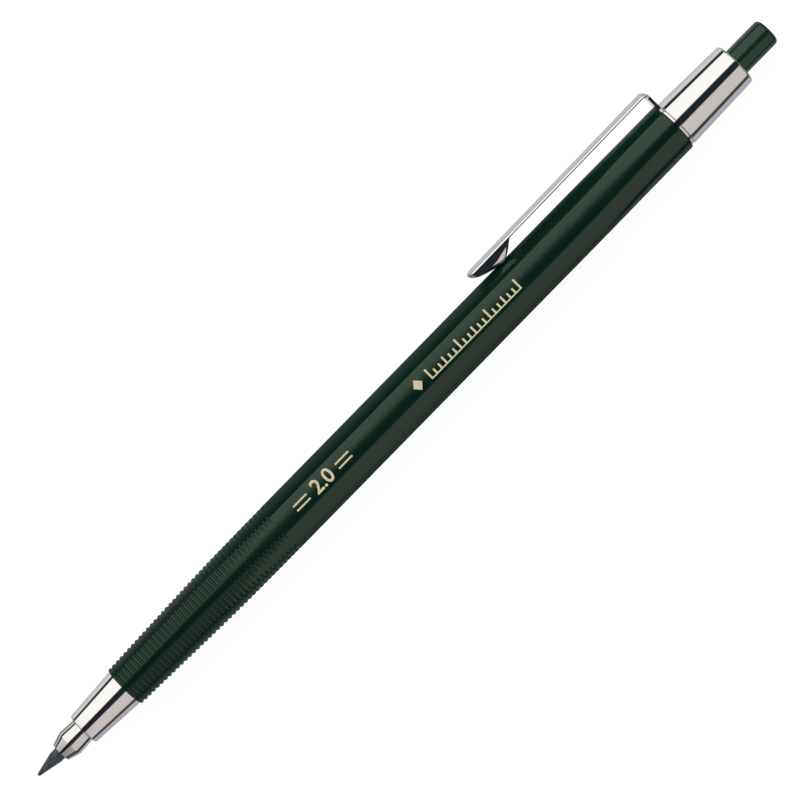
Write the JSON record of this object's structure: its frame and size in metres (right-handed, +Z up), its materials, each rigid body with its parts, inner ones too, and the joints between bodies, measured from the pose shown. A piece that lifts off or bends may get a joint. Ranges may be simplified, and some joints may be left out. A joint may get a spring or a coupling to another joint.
{
  "type": "clutch lead holder",
  "caption": "Octagonal clutch pencil for thick leads with a ribbed grip, sprung jaws in a metal nose cone, a push button and a pocket clip.",
  "frame": {"origin": "on the lowest barrel facet, under the pen axis, half way between the lead point and the button end", "axes": "+X towards the writing point along the pen axis, +Z up from the table the facet lies on, clip on the -Y side 22.5 degrees above horizontal"},
  "size_m": [0.15, 0.011, 0.008],
  "materials": {
    "barrel_plastic": "dark green, glossy",
    "button_plastic": "dark green, glossy",
    "chrome": "bright plated",
    "jaw_metal": "plated, turned",
    "graphite": "dark grey graphite, scraped point",
    "brass": "drawn and turned",
    "spring_steel": "bright wire",
    "gold_foil": "hot-stamped foil on the barrel"
  },
  "bodies": {
    "holder": {"barrel": "barrel_plastic", "nose_cone": "chrome", "front_insert": "brass", "front_washer": "brass", "return_spring": "spring_steel", "tube_guide": "brass", "rear_insert": "brass", "rear_sleeve": "chrome", "clip_ring": "chrome"},
    "push": {"push_button": "button_plastic", "button_core": "brass", "lead_tube": "brass", "clutch_body": "jaw_metal", "spring_collar": "brass", "retaining_ring": "spring_steel"},
    "jaw_a": {"jaw_top": "jaw_metal"},
    "jaw_b": {"jaw_clip_side": "jaw_metal"},
    "jaw_c": {"jaw_far_side": "jaw_metal"},
    "lead_stick": {"lead": "graphite"},
    "clip": {"clip_arm": "chrome"}
  },
  "joints": [
    {"name": "push_slide", "type": "slide", "parent": "holder", "child": "push", "axis": [1, 0, 0], "range_m": [0, 0.0035], "stiffness_N_per_m": 900, "springref_m": -0.004, "deforming": ["return_spring"]},
    {"name": "jaw_a_open", "type": "hinge", "parent": "push", "child": "jaw_a", "pos_m": [0.05706, 0, 0.0055], "axis": [0, -1, 0], "range_deg": [0, 2.05]},
    {"name": "jaw_b_open", "type": "hinge", "parent": "push", "child": "jaw_b", "pos_m": [0.05706, -0.0013, 0.00325], "axis": [0, 0.5, -0.866], "range_deg": [0, 2.05]},
    {"name": "jaw_c_open", "type": "hinge", "parent": "push", "child": "jaw_c", "pos_m": [0.05706, 0.0013, 0.00325], "axis": [0, 0.5, 0.866], "range_deg": [0, 2.05]},
    {"name": "lead_slide", "type": "slide", "parent": "push", "child": "lead_stick", "axis": [1, 0, 0], "range_m": [-0.005, 0.01]},
    {"name": "clip_flex", "type": "hinge", "parent": "holder", "child": "clip", "pos_m": [-0.05584, -0.00471, 0.00595], "axis": [0, -0.3827, -0.9239], "range_deg": [0, 3], "stiffness_Nm_per_rad": 0.9}
  ],
  "couplings": [
    {"joint": "jaw_a_open", "follows": "push_slide", "rad_per_m": 9.9733},
    {"joint": "jaw_b_open", "follows": "push_slide", "rad_per_m": 9.9733},
    {"joint": "jaw_c_open", "follows": "push_slide", "rad_per_m": 9.9733}
  ]
}
